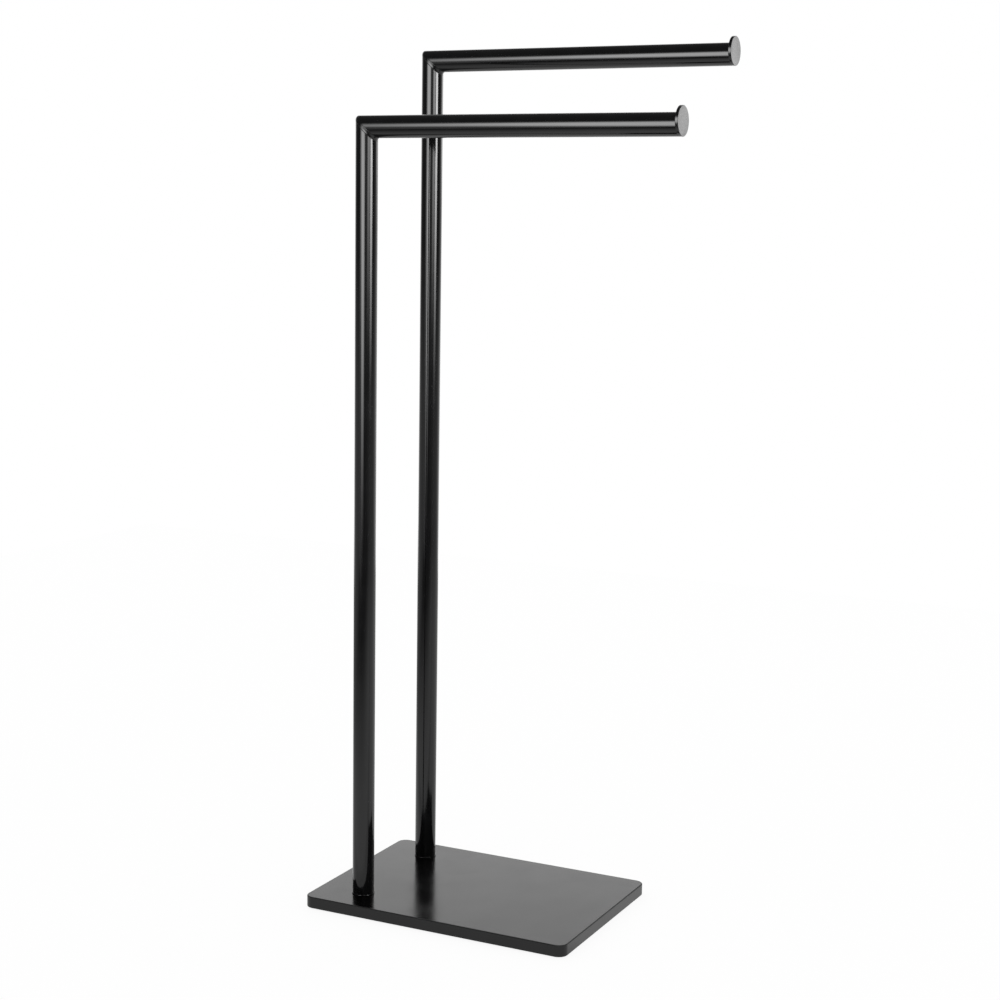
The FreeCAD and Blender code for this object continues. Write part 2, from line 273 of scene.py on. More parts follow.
def mitred_tube_tree():
    """Tube along +Z, square at 0 and cut at 45 degrees at its length, longest at -X."""
    rows = 6
    mitre_room = 1.2
    given = shape_tree("mitred_tube", ("Outside Radius", "Bore Radius", "Length"), ("Sides",))
    outside, length = given.output("Outside Radius"), given.output("Length")
    grid, turn, row = wrapped_grid(given, given.output("Sides"), rows)
    # Rows: square end, last plain ring, mitre; then the bore's mitre, square end and closing row
    is_mitre = abs(row - 2.5).below(1.0)
    is_plain_ring = abs(row - 1.0).below(0.5)
    is_bore = abs(row - 3.5).below(1.0)
    radius = outside + is_bore * (given.output("Bore Radius") - outside)
    side = radius * turn.cosine()
    # The last plain ring leaves the mitre a little more room than its one radius
    level = is_mitre * (length + side) + is_plain_ring * (length - outside * mitre_room)
    return end_tree(given, wrap(given, grid, -side, radius * turn.sine(), level))


def corner_weld_tree():
    """Ring of ground weld between the two mitres, with a fine groove along each of its edges.

    The mitre's outline is moved along a quarter arc without turning.
    """
    steps = 48
    lengths = ("Outside Radius", "Bore Radius", "Crease Radius", "Undercut")
    given = shape_tree("corner_weld", lengths, ("Sides",))
    outside, crease = given.output("Outside Radius"), given.output("Crease Radius")
    grid, turn, row = wrapped_grid(given, given.output("Sides"), 2 * steps + 3)
    # Rows: up the arc outside, back down it in the bore, and the closing row
    is_bore = abs(row - (1.5 * steps + 1)).below(0.5 * steps + 0.5)
    step = (steps + 0.5 - abs(row - (steps + 0.5))).at_least(0.0)
    # From 0 in the arc's middle to 0.5 at a mitre; a groove is deepest from 0.42 to 0.44
    from_middle = abs(step * (1.0 / steps) - 0.5)
    groove = from_middle.rise(0.5, 0.44) * from_middle.rise(0.32, 0.42) * given.output("Undercut")
    radius = outside - groove + is_bore * (given.output("Bore Radius") - outside + groove)
    side = radius * turn.cosine()
    bend = step * (math.pi / 2 / steps)
    along = crease * (1.0 - bend.cosine())
    up = crease * (bend.sine() - 1.0)
    return end_tree(given, wrap(given, grid, along - side, radius * turn.sine(), side + up))


def screw_thread_tree():
    """Metric thread along +Z: a ridge that climbs one pitch a turn and tapers off at both ends."""
    # More turns than the bolt is long; those past its tip are squeezed flat there
    turns, steps = 21, 40
    # Shares of one pitch: the flat root, each flank and the flat crest
    root_flat, flank, crest_flat = 0.25, 0.3125, 0.125
    lengths = ("Thread Radius", "Root Radius", "Pitch", "Length", "Tip Chamfer")
    given = shape_tree("screw_thread", lengths)
    root, pitch, length = given.output("Root Radius"), given.output("Pitch"), given.output("Length")
    grid = given.node("GeometryNodeMeshGrid", None,
                      {"Size X": float(turns), "Size Y": 4.0,
                       "Vertices X": turns * steps + 1, "Vertices Y": 5})
    apart = given.node("ShaderNodeSeparateXYZ", None, {0: given.node("GeometryNodeInputPosition")})
    turn = apart.output("X") + turns * 0.5
    row = apart.output("Y") + 2.0
    # Rows over one pitch: root, root, crest, crest, next root
    rise = root_flat * row.at_most(1.0)
    rise = rise + flank * (row - 1.0).at_least(0.0).at_most(1.0)
    rise = rise + crest_flat * (row - 2.0).at_least(0.0).at_most(1.0)
    rise = rise + flank * (row - 3.0).at_least(0.0)
    is_crest = abs(row - 2.5).below(1.0)
    height = ((turn - 1.0 + rise) * pitch).at_least(0.0).at_most(length)
    ridge = root + is_crest * (given.output("Thread Radius") - root)
    at_tip = root - given.output("Tip Chamfer") + length - height
    radius = ridge.at_most(root + height).at_most(at_tip)
    angle = turn * math.tau
    side, depth = radius * angle.cosine(), radius * angle.sine()
    return end_tree(given, wrap(given, grid, side, depth, height))


def split_washer_tree():
    """Flat wire with eased edges, bent once round an axis and open at +X."""
    bends, edge_steps = 97, 4
    lengths = ("Outside Radius", "Hole Radius", "Thickness", "Slit", "Rounding")
    given = shape_tree("split_washer", lengths)
    outside, hole = given.output("Outside Radius"), given.output("Hole Radius")
    middle = (outside + hole) * 0.5
    half_gap = given.output("Slit") / middle * 0.5
    arc = given.node("GeometryNodeCurveArc", {"mode": "RADIUS"},
                     {"Resolution": bends, "Radius": middle, "Start Angle": half_gap,
                      "Sweep Angle": math.tau - half_gap * 2.0})
    wire = given.node("GeometryNodeCurvePrimitiveQuadrilateral", {"mode": "RECTANGLE"},
                      {"Width": outside - hole, "Height": given.output("Thickness")})
    eased = given.node("GeometryNodeFilletCurve", {"mode": "POLY"},
                       {"Curve": wire, "Count": edge_steps, "Radius": given.output("Rounding")})
    swept = given.node("GeometryNodeCurveToMesh", None,
                       {"Curve": arc, "Profile Curve": eased, "Fill Caps": True})
    return end_tree(given, swept)


def grown(tree, sizes, finish):
    """Plain mesh that a tree makes from its sizes."""
    holder = bpy.data.objects.new("growing", bpy.data.meshes.new("growing"))
    bpy.context.scene.collection.objects.link(holder)
    modifier = holder.modifiers.new("shape", "NODES")
    modifier.node_group = tree
    for item in tree.interface.items_tree:
        if item.in_out == "INPUT":
            modifier[item.identifier] = finish if item.name == "Finish" else sizes[item.name]
    shown = holder.evaluated_get(bpy.context.evaluated_depsgraph_get())
    mesh = bpy.data.meshes.new_from_object(shown)
    holder.modifiers.remove(modifier)
    bpy.data.objects.remove(holder)
    return mesh


# --- Shapes built ring by ring -----------------------------------------------------------

def circle(radius, height, sides=ROUND_SIDES):
    """Ring of points about Z."""
    turns = [math.tau * number / sides for number in range(sides)]
    return [Vector((radius * math.cos(turn), radius * math.sin(turn), height)) for turn in turns]


def hexagon(flats, height, sides=ROUND_SIDES):
    """Ring of points on a hexagon about Z, as many as a circle's."""
    points = []
    for turn in (math.tau * number / sides for number in range(sides)):
        from_flat = (turn % (math.pi / 3)) - math.pi / 6
        reach = flats / 2 / math.cos(from_flat)
        points.append(Vector((reach * math.cos(turn), reach * math.sin(turn), height)))
    return points


def plate_outline(inset, height):
    """Ring of points on the plate's rounded outline, drawn in by an inset."""
    steps = 24
    radius = PLATE_CORNER - inset
    half = Vector((PLATE_LENGTH / 2 - PLATE_CORNER, PLATE_WIDTH / 2 - PLATE_CORNER))
    points = []
    for quarter, (end, side) in enumerate(((1, 1), (-1, 1), (-1, -1), (1, -1))):
        for step in range(steps + 1):
            turn = math.pi / 2 * (quarter + step / steps)
            x = PLATE_X + end * half.x + radius * math.cos(turn)
            y = side * half.y + radius * math.sin(turn)
            points.append(Vector((x, y, height)))
    return points


def rounding(radius, height, size, steps=8, up=True):
    """(radius, height) points of a quarter round, from a rim to the face at a height."""
    sign = 1 if up else -1
    points = []
    for step in range(steps + 1):
        turn = math.pi / 2 * step / steps
        points.append((radius - size + size * math.cos(turn),
                       height - sign * size + sign * size * math.sin(turn)))
    return points


def add_rings(shape, rings):
    """Band of faces through rings of equal count; returns the rings' corners."""
    corners = [[shape.verts.new(point) for point in ring] for ring in rings]
    for lower, upper in zip(corners, corners[1:]):
        count = len(lower)
        for number in range(count):
            following = (number + 1) % count
            shape.faces.new((lower[number], lower[following], upper[following], upper[number]))
    return corners


def add_turned(shape, profile, sides=ROUND_SIDES):
    """Closed shape turned about Z through (radius, height) points, capped flat at both ends."""
    corners = add_rings(shape, [circle(radius, height, sides) for radius, height in profile])
    shape.faces.new(list(reversed(corners[0])))
    shape.faces.new(corners[-1])


def fill_between(shape, *loops):
    """Flat face with holes between closed loops of corners."""
    edges = []
    for loop in loops:
        for start, end in zip(loop, loop[1:] + loop[:1]):
            edges.append(shape.edges.get((start, end)) or shape.edges.new((start, end)))
    bmesh.ops.triangle_fill(shape, use_beauty=True, edges=edges)


def finished(shape, place=None, sharp_bend=SHARP_BEND):
    """Mesh from a bmesh: outward faces, smooth but for its sharp edges, in its place."""
    bmesh.ops.remove_doubles(shape, verts=shape.verts, dist=RING_MERGE)
    bmesh.ops.recalc_face_normals(shape, faces=shape.faces)
    for face in shape.faces:
        face.smooth = True
    for edge in shape.edges:
        edge.smooth = edge.is_manifold and edge.calc_face_angle() < math.radians(sharp_bend)
    if place is not None:
        bmesh.ops.transform(shape, matrix=place, verts=shape.verts)
    mesh = bpy.data.meshes.new("shape")
    shape.to_mesh(mesh)
    shape.free()
    return mesh


def base_plate_mesh():
    """Plate with rounded corners, eased edges and a counterbored hole under each post."""
    shape = bmesh.new()
    steps = 8
    turns = [math.pi / 2 * step / steps for step in range(steps + 1)]
    skin = []
    for turn in turns:
        inset = PLATE_EDGE * (1 - math.sin(turn))
        skin.append(plate_outline(inset, PLATE_BOTTOM_Z + PLATE_EDGE * (1 - math.cos(turn))))
    for turn in turns:
        inset = PLATE_EDGE * (1 - math.cos(turn))
        skin.append(plate_outline(inset, PLATE_TOP_Z - PLATE_EDGE * (1 - math.sin(turn))))
    edges = add_rings(shape, skin)
    under, over = [edges[0]], [edges[-1]]
    hole = [(COUNTERBORE_RADIUS, PLATE_BOTTOM_Z), (COUNTERBORE_RADIUS, COUNTERBORE_TOP_Z),
            (BOLT_HOLE_RADIUS, COUNTERBORE_TOP_Z), (BOLT_HOLE_RADIUS, PLATE_TOP_Z)]
    for sizes in FRAMES.values():
        centre = Vector((POST_X, sizes["y"], 0))
        rings = [[centre + point for point in circle(radius, height)] for radius, height in hole]
        walls = add_rings(shape, rings)
        under.append(walls[0])
        over.append(walls[-1])
    fill_between(shape, *under)
    fill_between(shape, *over)
    return finished(shape)


def end_disc_mesh(y, arm_z):
    """Stop disc with eased rims, set above the tube's axis, and its spigot in the tube."""
    shape = bmesh.new()
    back = rounding(DISC_RADIUS, 0, DISC_ROUNDING, up=False)[::-1]
    front = rounding(DISC_RADIUS, DISC_THICKNESS, DISC_ROUNDING)
    add_turned(shape, back + front, DISC_SIDES)
    bmesh.ops.translate(shape, vec=(-DISC_RISE, 0, 0), verts=shape.verts)
    add_turned(shape, [(SPIGOT_RADIUS - SPIGOT_LEAD, -SPIGOT_LENGTH),
                       (SPIGOT_RADIUS, SPIGOT_LEAD - SPIGOT_LENGTH),
                       (SPIGOT_RADIUS, SPIGOT_IN_DISC)])
    # The disc's axis turns from Z to X, and its rise from -X to Z
    place = Matrix.Translation((TUBE_END_X, y, arm_z)) @ Matrix.Rotation(math.pi / 2, 4, "Y")
    return finished(shape, place)


def foot_ring_mesh(y):
    """Thin ring between a tube's foot and the plate, with eased outer edges."""
    shape = bmesh.new()
    height = POST_FOOT_Z - PLATE_TOP_Z
    low = rounding(RING_RADIUS, 0, RING_LOWER_ROUNDING, steps=4, up=False)[::-1]
    high = rounding(RING_RADIUS, height, RING_UPPER_ROUNDING, steps=6)
    bore = [(BOLT_HOLE_RADIUS, height), (BOLT_HOLE_RADIUS, 0)]
    profile = bore[-1:] + low + high + bore
    add_rings(shape, [circle(radius, level) for radius, level in profile])
    return finished(shape, Matrix.Translation((POST_X, y, PLATE_TOP_Z)))


def bolt_mesh(y, thread):
    """Button head with a hexagon socket, facing down, and the threaded shank above it."""
    shape = bmesh.new()
    height = HEAD_TOP_Z - HEAD_BOTTOM_Z
    seat = [(HEAD_SEAT_INSIDE, height), (HEAD_RADIUS - HEAD_SEAT_CHAMFER, height),
            (HEAD_RADIUS, height - HEAD_SEAT_CHAMFER)]
    crown = rounding(HEAD_RADIUS, 0, HEAD_ROUNDING, steps=12, up=False)
    rings = [circle(radius, level) for radius, level in seat + crown + [(SOCKET_RIM_RADIUS, 0)]]
    rings += [hexagon(SOCKET_FLATS, depth) for depth in (SOCKET_RIM_DEPTH, SOCKET_DEPTH)]
    corners = add_rings(shape, rings)
    shape.faces.new(corners[0])
    shape.faces.new(corners[-1])
    head = finished(shape, Matrix.Translation((0, 0, HEAD_BOTTOM_Z)), sharp_bend=20.0)

    whole = bmesh.new()
    whole.from_mesh(thread)
    open_edges = [edge for edge in whole.edges if edge.is_boundary]
    bmesh.ops.holes_fill(whole, edges=open_edges, sides=0)
    bmesh.ops.recalc_face_normals(whole, faces=whole.faces)
    bmesh.ops.translate(whole, vec=(0, 0, HEAD_TOP_Z - BOLT_IN_HEAD), verts=whole.verts)
    whole.from_mesh(head)
    bmesh.ops.translate(whole, vec=(POST_X, y, 0), verts=whole.verts)
    mesh = bpy.data.meshes.new("bolt")
    whole.to_mesh(mesh)
    whole.free()
    return mesh


def rubber_foot_mesh(x, y):
    """Moulded pad with a rounded rim on the floor and a finely chamfered one at the plate."""
    shape = bmesh.new()
    low = rounding(FOOT_RADIUS, 0, FOOT_ROUNDING, steps=6, up=False)[::-1]
    high = [(FOOT_RADIUS, FOOT_HEIGHT - FOOT_CHAMFER), (FOOT_RADIUS - FOOT_CHAMFER, FOOT_HEIGHT)]
    add_turned(shape, low + high)
    return finished(shape, Matrix.Translation((x, y, 0)))


# --- Finishes ----------------------------------------------------------------------------

COAT = (0.0030, 0.0030, 0.0032)
RUBBED_COAT = (0.009, 0.009, 0.010)

# Socket numbers of a Mix node's two colours and of its mixed colour
MIX_DARK, MIX_LIGHT, MIX_RESULT = 6, 7, 2


def new_finish(name):
    """Material with an empty tree, and a wire to it."""
    finish = bpy.data.materials.new(name)
    finish.use_nodes = True
    finish.node_tree.nodes.clear()
    return finish, Wire(finish.node_tree)


def object_place(wire):
    return wire.node("ShaderNodeTexCoord", output="Object")


def grain(wire, place, scale, detail=2.0, roughness=0.5, stretch=(1.0, 1.0, 1.0)):
    """Noise from 0 to 1 on the piece's own coordinates; stretch is a scale along each axis."""
    mapped = wire.node("ShaderNodeMapping", None, {"Vector": place, "Scale": stretch})
    sockets = {"Vector": mapped, "Scale": scale, "Detail": detail, "Roughness": roughness}
    return wire.node("ShaderNodeTexNoise", None, sockets)


def tinted(wire, mask, dark, light):
    """Colour from dark to light as a mask goes from 0 to 1."""
    sockets = {"Factor": mask, MIX_DARK: (*dark, 1.0), MIX_LIGHT: (*light, 1.0)}
    return wire.node("ShaderNodeMix", {"data_type": "RGBA"}, sockets, output=MIX_RESULT)


def relief(wire, height, depth):
    """Bump of a real depth in metres."""
    sockets = {"Strength": 1.0, "Distance": depth, "Height": height}
    return wire.node("ShaderNodeBump", None, sockets)


def surface(wire, **sockets):
    """Principled surface to the material's output; names are the shader's own."""
    named = {name.replace("_", " "): value for name, value in sockets.items()}
    shader = wire.node("ShaderNodeBsdfPrincipled", None, named)
    wire.node("ShaderNodeOutputMaterial", None, {"Surface": shader})


def black_coat(name, gloss, wear, dulling=0.0):
    """Baked black coat: faint orange peel, uneven gloss and rubbed places.

    gloss is the lowest and highest roughness; wear makes a 0 to 1 mask of where the coat is
    rubbed from the wires of the piece's x, y and z, and dulling is the roughness it gains there.
    """
    peel, peel_depth = 2.6 * MM, 0.0012 * MM
    speck_dulling, scuff_dulling = 0.05, 0.12
    patch_shade = 0.35
    finish, wire = new_finish(name)
    place = object_place(wire)
    patches = grain(wire, place, scale=38.0, detail=3.0)
    specks = grain(wire, place, scale=2600.0, detail=1.0).rise(0.66, 0.74)
    scuffs = grain(wire, place, scale=900.0, detail=3.0, roughness=0.6).rise(0.35, 0.75)
    apart = wire.node("ShaderNodeSeparateXYZ", None, {0: place})
    worn = wear(*(apart.output(axis) for axis in "XYZ"))
    rubbed = worn * scuffs
    roughness = patches.rise(0.3, 0.7).between(*gloss) + specks * speck_dulling
    roughness = roughness + worn * dulling + rubbed * scuff_dulling
    shade = (patches.rise(0.2, 0.8) * patch_shade + rubbed).at_most(1.0)
    bumps = grain(wire, place, scale=1.0 / peel, detail=2.0)
    surface(wire, Base_Color=tinted(wire, shade, COAT, RUBBED_COAT), Roughness=roughness,
            Normal=relief(wire, bumps, peel_depth), IOR=1.5)
    return finish


def plate_rim_wear(x, y, z):
    """Rubbed line along the plate's upper and lower edges and round its corners."""
    unworn, full = 1.6 * MM, 0.2 * MM
    past_x = (abs(x - PLATE_X) - (PLATE_LENGTH / 2 - PLATE_CORNER)).at_least(0.0)
    past_y = (abs(y) - (PLATE_WIDTH / 2 - PLATE_CORNER)).at_least(0.0)
    squares = past_x * past_x + past_y * past_y
    from_side = PLATE_CORNER - squares.math("SQRT", squares)
    from_level = (PLATE_TOP_Z - z).at_most(z - PLATE_BOTTOM_Z)
    return from_side.rise(unworn, full) * from_level.rise(unworn, full)


def disc_wear(x, y, z):
    """Rubbing over both flat faces of the end discs, which fades out round their rims."""
    fade = 0.5 * MM
    from_face = (TUBE_END_X + DISC_THICKNESS - x).at_most(x - TUBE_END_X)
    return from_face.rise(fade, 0.0)


def towel_wear(x, y, z):
    """Faint rubbing along the top of each arm, where towels are pulled over it."""
    left, right, soft = -100 * MM, 165 * MM, 30 * MM
    above_axis = 6 * MM
    arm_room = 20 * MM
    strength = 0.5
    tops = None
    for sizes in FRAMES.values():
        top = z.rise(sizes["arm_z"] + above_axis, sizes["arm_z"] + TUBE_RADIUS)
        on_arm = abs(y - sizes["y"]).below(arm_room)
        tops = top * on_arm if tops is None else tops + top * on_arm
    return x.band(left, right, soft) * tops * strength


def zinc_plate():
    """Bright zinc plate on steel: soft grey patches over fine turning marks."""
    darker, lighter = (0.50, 0.51, 0.54), (0.66, 0.66, 0.65)
    gloss, mark_dulling, mark_depth = (0.24, 0.42), 0.06, 0.01 * MM
    finish, wire = new_finish("zinc_plate")
    place = object_place(wire)
    patches = grain(wire, place, scale=420.0, detail=3.0)
    marks = grain(wire, place, scale=700.0, detail=2.0, stretch=(1.0, 1.0, 9.0))
    roughness = patches.rise(0.2, 0.8).between(*gloss) + marks * mark_dulling
    surface(wire, Base_Color=tinted(wire, patches.rise(0.3, 0.7), darker, lighter), Metallic=1.0,
            Roughness=roughness, Normal=relief(wire, marks, mark_depth))
    return finish


def moulded_rubber():
    """Matt black rubber with a fine moulded grain and a little dust."""
    clean, dusty = (0.045, 0.045, 0.046), (0.11, 0.107, 0.10)
    gloss, stipple_depth = (0.62, 0.85), 0.04 * MM
    finish, wire = new_finish("moulded_rubber")
    place = object_place(wire)
    stipple = grain(wire, place, scale=2400.0, detail=2.0)
    dust = grain(wire, place, scale=160.0, detail=4.0, roughness=0.6).rise(0.5, 0.8)
    surface(wire, Base_Color=tinted(wire, dust, clean, dusty), Roughness=dust.between(*gloss),
            Normal=relief(wire, stipple, stipple_depth))
    return finish


frame_coat = black_coat("frame_coat", (0.08, 0.12), towel_wear)
plate_coat = black_coat("plate_coat", (0.16, 0.22), plate_rim_wear, dulling=0.35)
disc_coat = black_coat("disc_coat", (0.16, 0.24), disc_wear)
zinc = zinc_plate()
rubber = moulded_rubber()


# --- The pieces --------------------------------------------------------------------------

def add_piece(name, mesh, finish, slot, *nodes):
    """Piece from a mesh that is already in its place; it stands for the named CAD nodes."""
    mesh.name = name
    if not mesh.materials:
        mesh.materials.append(finish)
    piece = bpy.data.objects.new(name, mesh)
    bpy.context.scene.collection.objects.link(piece)
    weighted = piece.modifiers.new("even_shading", "WEIGHTED_NORMAL")
    weighted.keep_sharp = True
    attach(piece, "root")
    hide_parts(*nodes)


tube_tree = mitred_tube_tree()
weld_tree = corner_weld_tree()
thread_tree = screw_thread_tree()
washer_tree = split_washer_tree()

TUBE = {"Outside Radius": TUBE_RADIUS, "Bore Radius": BORE_RADIUS, "Sides": TUBE_SIDES}
WELD = {**TUBE, "Crease Radius": CREASE_RADIUS, "Undercut": UNDERCUT}
THREAD = {"Thread Radius": THREAD_RADIUS, "Root Radius": THREAD_ROOT_RADIUS, "Pitch": THREAD_PITCH,
          "Length": BOLT_LENGTH + BOLT_IN_HEAD, "Tip Chamfer": BOLT_TIP_CHAMFER}
WASHER = {"Outside Radius": WASHER_RADIUS, "Hole Radius": BOLT_HOLE_RADIUS,
          "Thickness": WASHER_THICKNESS, "Slit": WASHER_SLIT, "Rounding": WASHER_ROUNDING}
# An arm grows like a post, then is laid level with its longer side up
LAID_LEVEL = Matrix(((0, 0, -1, 0), (0, -1, 0, 0), (-1, 0, 0, 0), (0, 0, 0, 1)))


def add_frame(side, y, arm_z):
    """The pieces of the front or rear frame, with what holds it to the plate."""
    post_length = arm_z - CREASE_RADIUS - POST_FOOT_Z
    post = grown(tube_tree, {**TUBE, "Length": post_length}, frame_coat)
    post.transform(Matrix.Translation((POST_X, y, POST_FOOT_Z)))
    add_piece(f"{side}_upright", post, frame_coat, "frame_coat", f"{side}_post")

    arm_length = TUBE_END_X - POST_X - CREASE_RADIUS
    arm = grown(tube_tree, {**TUBE, "Length": arm_length}, frame_coat)
    arm.transform(Matrix.Translation((TUBE_END_X, y, arm_z)) @ LAID_LEVEL)
    add_piece(f"{side}_towel_arm", arm, frame_coat, "frame_coat", f"{side}_arm")

    weld = grown(weld_tree, WELD, frame_coat)
    weld.transform(Matrix.Translation((POST_X, y, arm_z)))
    add_piece(f"{side}_ground_corner", weld, frame_coat, "frame_coat", f"{side}_corner_weld")

    disc = end_disc_mesh(y, arm_z)
    add_piece(f"{side}_stop_disc", disc, disc_coat, "disc_coat", f"{side}_end_disc")
    add_piece(f"{side}_collar", foot_ring_mesh(y), frame_coat, "frame_coat", f"{side}_foot_ring")

    bolt = bolt_mesh(y, grown(thread_tree, THREAD, zinc))
    add_piece(f"{side}_bolt", bolt, zinc, "zinc_steel", f"{side}_base_bolt")

    washer = grown(washer_tree, WASHER, zinc)
    washer.transform(Matrix.Translation((POST_X, y, HEAD_TOP_Z + WASHER_THICKNESS / 2)))
    add_piece(f"{side}_lock_washer", washer, zinc, "zinc_steel", f"{side}_spring_washer")

    # The plug in the tube's foot keeps its CAD mesh
    plug = frame["nodes"][f"{side}_threaded_plug"]
    plug.data.materials.clear()
    plug.data.materials.append(zinc)


add_piece("plate", base_plate_mesh(), plate_coat, "plate_coat", "base_plate")
for row, foot_y in FOOT_Y.items():
    for end, foot_x in FOOT_X.items():
        add_piece(f"foot_{row}_{end}", rubber_foot_mesh(foot_x, foot_y), rubber, "foot_rubber",
                  f"rubber_foot_{row}_{end}")
for frame_side, frame_sizes in FRAMES.items():
    add_frame(frame_side, frame_sizes["y"], frame_sizes["arm_z"])


# --- Studio ------------------------------------------------------------------------------

WHITE = (1, 1, 1, 1)

# Strengths of the world's parts; the far ones lie below level, where the floor has ended
ROOM_LIGHT = 0.11
SWEEP_LIGHT = 1.3
GAP_LIGHT = 0.4
CARD_LIGHT = 1.79
FAR_RIGHT_LIGHT = 0.35
FAR_LEFT_LIGHT = 0.4
SHOWN_LIGHT = 1.0
MATT_LIGHT = 0.85

FLOOR_HALF_SIZE = 1.8
FLOOR_DROP = 0.1 * MM
FLOOR_SHOWN_LIGHT = 0.91

# Ends of the names of the pieces that a light is shown in
POST_PIECES = ("_upright", "_ground_corner", "_stop_disc", "_collar")
FRAME_PIECES = POST_PIECES + ("_towel_arm",)

LEFT_LIGHT_PLACE = (0, -1.558, 0)
RIGHT_LIGHT_PLACE = (2.58, -1.27, 0)
RIGHT_LIGHT_TURN = math.radians(65)
PLATE_LIGHT_RADIUS = 1.5

CAMERA_PLACE = (0.81516, -1.69933, 0.70281)
CAMERA_YAW, CAMERA_PITCH, CAMERA_ROLL = -0.4577, 0.147, -0.0151
SENSOR_WIDTH = 36
LENS_TO_SENSOR = 1.913118


def studio_world():
    """White sweep behind the stand, a dark room in front of it and a card to the right."""
    world = bpy.data.worlds.new("studio")
    bpy.context.scene.world = world
    world.use_nodes = True
    world.node_tree.nodes.clear()
    wire = Wire(world.node_tree)
    towards = wire.node("ShaderNodeTexCoord", output="Generated")
    apart = wire.node("ShaderNodeSeparateXYZ", None, {0: towards})
    x, y, z = (apart.output(axis) for axis in "XYZ")
    # Degrees round from +X towards +Y, and degrees above level
    round_about = wire.math("ARCTAN2", y, x) * math.degrees(1)
    height = z.math("ARCSINE", z) * math.degrees(1)

    sweep = round_about.rise(20, 95) * round_about.rise(184, 140) * height.rise(44, 12)
    dim_gap = round_about.band(-86, -54, 6) * height.rise(-8, 3) * height.rise(22, 13)
    right_card = round_about.band(62, 76, 5) * height.rise(0, 2) * height.rise(12, 3)
    far_right = round_about.rise(-75, 20) * FAR_RIGHT_LIGHT
    far_left = round_about.rise(-100, -130) * FAR_LEFT_LIGHT
    light = ROOM_LIGHT + sweep * SWEEP_LIGHT + dim_gap * GAP_LIGHT + right_card * CARD_LIGHT
    light = light + height.rise(0, -7) * (far_right + far_left)

    path = wire.node("ShaderNodeLightPath")
    seen = path.output("Is Camera Ray").at_least(path.output("Is Transmission Ray"))
    plain = path.output("Is Diffuse Ray")
    strength = light + seen * (SHOWN_LIGHT - light) + plain * (MATT_LIGHT - light)
    shine = wire.node("ShaderNodeBackground", None, {"Color": WHITE, "Strength": strength})
    wire.node("ShaderNodeOutputWorld", None, {"Surface": shine})


def staged(name, shape, finish):
    """Object of the studio from a bmesh and its finish."""
    mesh = bpy.data.meshes.new(name)
    shape.to_mesh(mesh)
    shape.free()
    mesh.materials.append(finish)
    thing = bpy.data.objects.new(name, mesh)
    bpy.context.scene.collection.objects.link(thing)
    return thing


def white_floor():
    """Pale floor that shows white and keeps a faint shadow; it is open to a view from below."""
    least, most, far_left_light = 0.02, 0.76, 0.32
    plate_shade = 0.26
    finish, wire = new_finish("white_floor")
    path = wire.node("ShaderNodeLightPath")
    shown = path.output("Is Camera Ray").at_least(path.output("Is Transmission Ray"))
    apart = wire.node("ShaderNodeSeparateXYZ", None, {0: object_place(wire)})
    x, y = apart.output("X"), apart.output("Y")
    # In the coat's shine its glow is painted light: bright towards the sweep, dimmer to the right,
    # with a painted shadow by the plate, and a little brighter again on the far left
    painted_sweep_light = y.rise(-1.45, -0.2) * x.rise(-1.5, -0.2) * x.rise(2.4, 0.6).between(0.35, 1.0)
    # Painted shadow of the plate, darkening the floor's glow just in front of it
    painted_plate_shadow = y.band(-0.16, -0.09, 0.05)
    painted_glow_in_shine = painted_sweep_light.between(least, most) * (1.0 - painted_plate_shadow * plate_shade)
    painted_glow_in_shine = painted_glow_in_shine + x.rise(-0.8, -1.5) * far_left_light
    strength = painted_glow_in_shine + shown * (FLOOR_SHOWN_LIGHT - painted_glow_in_shine)
    glow = wire.node("ShaderNodeEmission", None, {"Color": WHITE, "Strength": strength})
    matt = wire.node("ShaderNodeBsdfDiffuse", None, {"Color": (0.1, 0.1, 0.1, 1)})
    lit = wire.node("ShaderNodeAddShader", None, {0: glow, 1: matt})
    clear = wire.node("ShaderNodeBsdfTransparent")
    under = wire.node("ShaderNodeNewGeometry", output="Backfacing")
    both = wire.node("ShaderNodeMixShader", None, {0: under, 1: lit, 2: clear})
    wire.node("ShaderNodeOutputMaterial", None, {"Surface": both})

    shape = bmesh.new()
    bmesh.ops.create_grid(shape, x_segments=8, y_segments=8, size=FLOOR_HALF_SIZE)
    floor = staged("floor", shape, finish)
    floor.location.z = -FLOOR_DROP


def reflected_light(name, shape, place, glow, lit, clear=True):
    """Light that is seen only in the shine of the named kinds of pieces.

    glow makes its strength from the wires of its own x, y and z; a clear one shows what is
    behind it as well. No light is seen again in the shine of another piece.
    """
    finish, wire = new_finish(name)
    finish.cycles.emission_sampling = "NONE"
    apart = wire.node("ShaderNodeSeparateXYZ", None, {0: object_place(wire)})
    first_shine = wire.node("ShaderNodeLightPath").output("Ray Depth").below(1.5)
    strength = glow(*(apart.output(axis) for axis in "XYZ")) * first_shine
    shine = wire.node("ShaderNodeEmission", None, {"Color": WHITE, "Strength": strength})
    if clear:
        behind = wire.node("ShaderNodeBsdfTransparent")
        shine = wire.node("ShaderNodeAddShader", None, {0: shine, 1: behind})
    wire.node("ShaderNodeOutputMaterial", None, {"Surface": shine})

    light = staged(name, shape, finish)
    light.matrix_world = place
    light.visible_camera = False
    light.visible_diffuse = False
    light.visible_transmission = False
    light.visible_shadow = False
    pieces = bpy.data.collections.new(name)
    for piece in bpy.context.scene.objects:
        if piece.name.endswith(lit):
            pieces.objects.link(piece)
    light.light_linking.receiver_collection = pieces


def panel(left, right, low, high):
    """Flat upright face in X and Z, towards +Y."""
    shape = bmesh.new()
    corners = ((left, 0, high), (right, 0, high), (right, 0, low), (left, 0, low))
    shape.faces.new([shape.verts.new(corner) for corner in corners])
    return shape


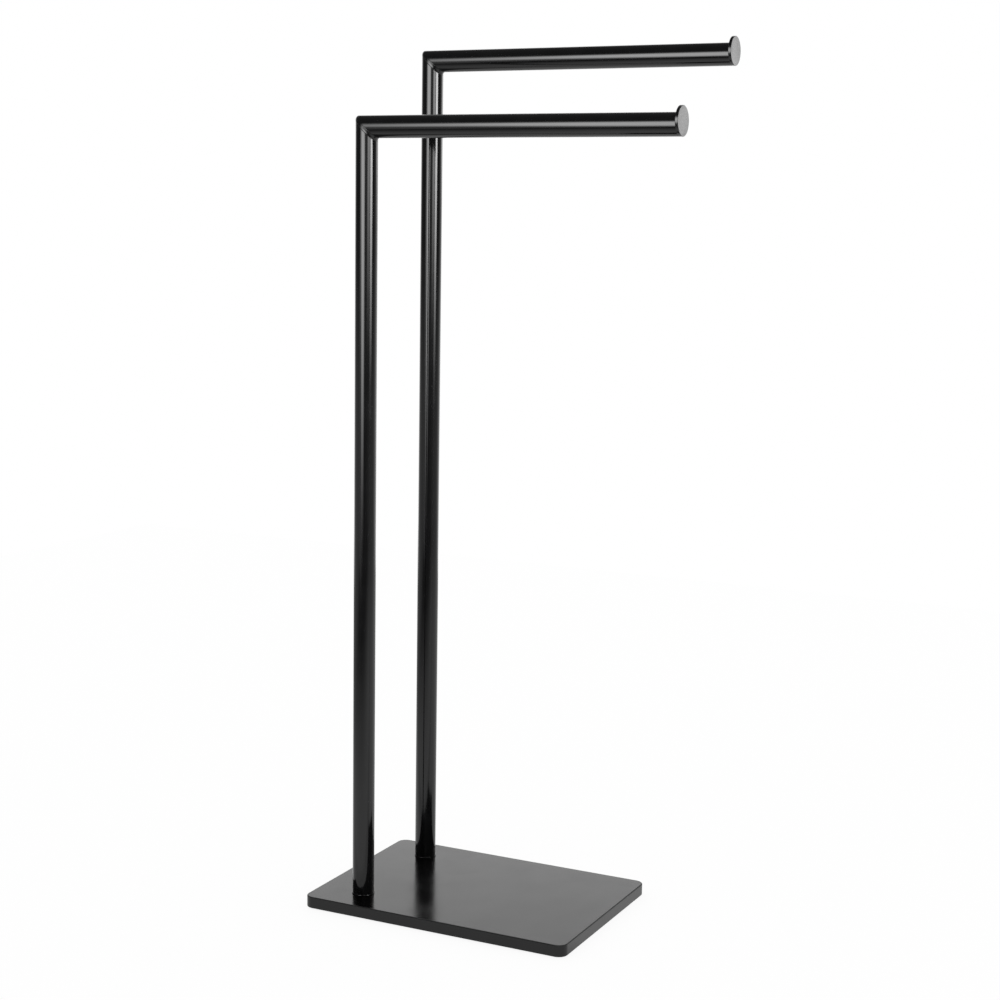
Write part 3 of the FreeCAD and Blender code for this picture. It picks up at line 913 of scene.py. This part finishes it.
def ball():
    """Ball about the stand, one metre in radius before it is placed."""
    shape = bmesh.new()
    bmesh.ops.create_uvsphere(shape, u_segments=48, v_segments=24, radius=1.0)
    return shape


def left_glow(x, y, z):
    """Bright middle that fades out all round and starts higher on the left, over a dim light."""
    climb = 0.36
    middle_light, side_light, least_light = 7.4, 0.5, 0.1
    across = x.rise(-1.4, -0.55) * x.rise(0.34, -0.12)
    raised = z - x.rise(-0.35, -0.9) * climb
    middle = across * raised.rise(0.06, 0.68) * z.rise(1.7, 1.15)
    return middle * middle_light + x.rise(-0.1, -0.6) * side_light + least_light


def right_glow(x, y, z):
    """Two upright fields, one much brighter, that get stronger upwards and end near the top."""
    weak_light, strong_light = 5.9, 16.5
    weaker = x.band(-1.34, -0.26, 0.28) * z.rise(0.31, 1.14) * weak_light
    stronger = x.band(0.26, 1.27, 0.22) * z.rise(0.185, 1.14) * strong_light
    return (weaker + stronger) * z.rise(1.75, 1.35)


def plate_glow(x, y, z):
    """Soft light from above and from all round but the back, with a gap on the left."""
    strength = 0.6
    gap = x.band(-0.6, -0.3, 0.14)
    return (1.0 - gap) * y.rise(0.75, 0.5) * z.rise(0.06, 0.3) * strength


def photo_camera():
    """Camera at the place that was fitted to the photo, turned by yaw, pitch and roll."""
    ahead = Vector((math.sin(CAMERA_YAW) * math.cos(CAMERA_PITCH),
                    math.cos(CAMERA_YAW) * math.cos(CAMERA_PITCH), -math.sin(CAMERA_PITCH)))
    level = Vector((math.cos(CAMERA_YAW), -math.sin(CAMERA_YAW), 0))
    down = ahead.cross(level)
    right = level * math.cos(CAMERA_ROLL) + down * math.sin(CAMERA_ROLL)
    below = down * math.cos(CAMERA_ROLL) - level * math.sin(CAMERA_ROLL)
    turned = Matrix((right, -below, -ahead)).transposed().to_4x4()
    camera = bpy.data.objects.new("camera", bpy.data.cameras.new("camera"))
    camera.data.sensor_width = SENSOR_WIDTH
    camera.data.lens = LENS_TO_SENSOR * SENSOR_WIDTH
    camera.data.clip_start = 0.05
    camera.data.clip_end = 50
    camera.matrix_world = Matrix.Translation(CAMERA_PLACE) @ turned
    bpy.context.scene.collection.objects.link(camera)
    bpy.context.scene.camera = camera


studio_world()
white_floor()
reflected_light("left_light", panel(left=-1.4, right=0.45, low=0.05, high=1.8),
                Matrix.Translation(LEFT_LIGHT_PLACE), left_glow, FRAME_PIECES, clear=False)
reflected_light("right_light", panel(left=-1.7, right=1.6, low=0.05, high=1.8),
                Matrix.Translation(RIGHT_LIGHT_PLACE) @ Matrix.Rotation(RIGHT_LIGHT_TURN, 4, "Z"),
                right_glow, POST_PIECES)
reflected_light("plate_light", ball(), Matrix.Scale(PLATE_LIGHT_RADIUS, 4), plate_glow, ("plate",))
photo_camera()
bpy.context.scene.view_settings.view_transform = "Standard"
